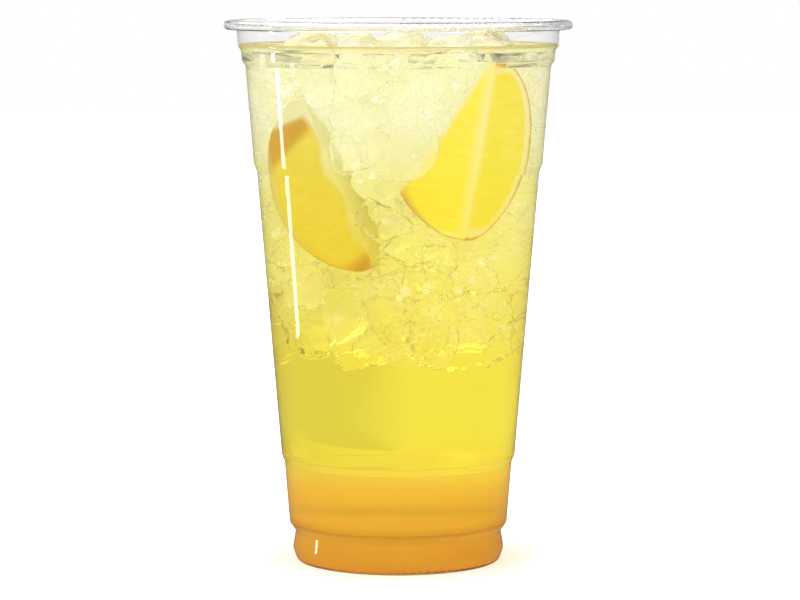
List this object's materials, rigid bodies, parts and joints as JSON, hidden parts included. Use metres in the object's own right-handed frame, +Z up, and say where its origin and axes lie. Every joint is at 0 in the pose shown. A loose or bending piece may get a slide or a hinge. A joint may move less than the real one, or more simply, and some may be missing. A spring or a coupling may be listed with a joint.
{
  "type": "iced lemon tea in a plastic tumbler",
  "caption": "Clear disposable tumbler with a rolled rim, filled with pale iced lemon tea over an orange syrup layer, with lemon wedges and ice under its surface.",
  "frame": {"origin": "centre of the foot ring, on the surface that the cup stands on", "axes": "+Z up along the cup's axis, -Y towards the front, where the lemon wedges show, +X to the right"},
  "size_m": [0.098, 0.098, 0.153],
  "materials": {
    "clear_plastic": "glossy clear",
    "tea": "clear liquid",
    "syrup": "clear liquid",
    "lemon": "wet flesh and peel"
  },
  "bodies": {
    "root": {"cup": "clear_plastic", "tea_layer": "tea", "syrup_layer": "syrup", "lemon_wedge_right": "lemon", "lemon_wedge_left": "lemon"}
  },
  "joints": []
}
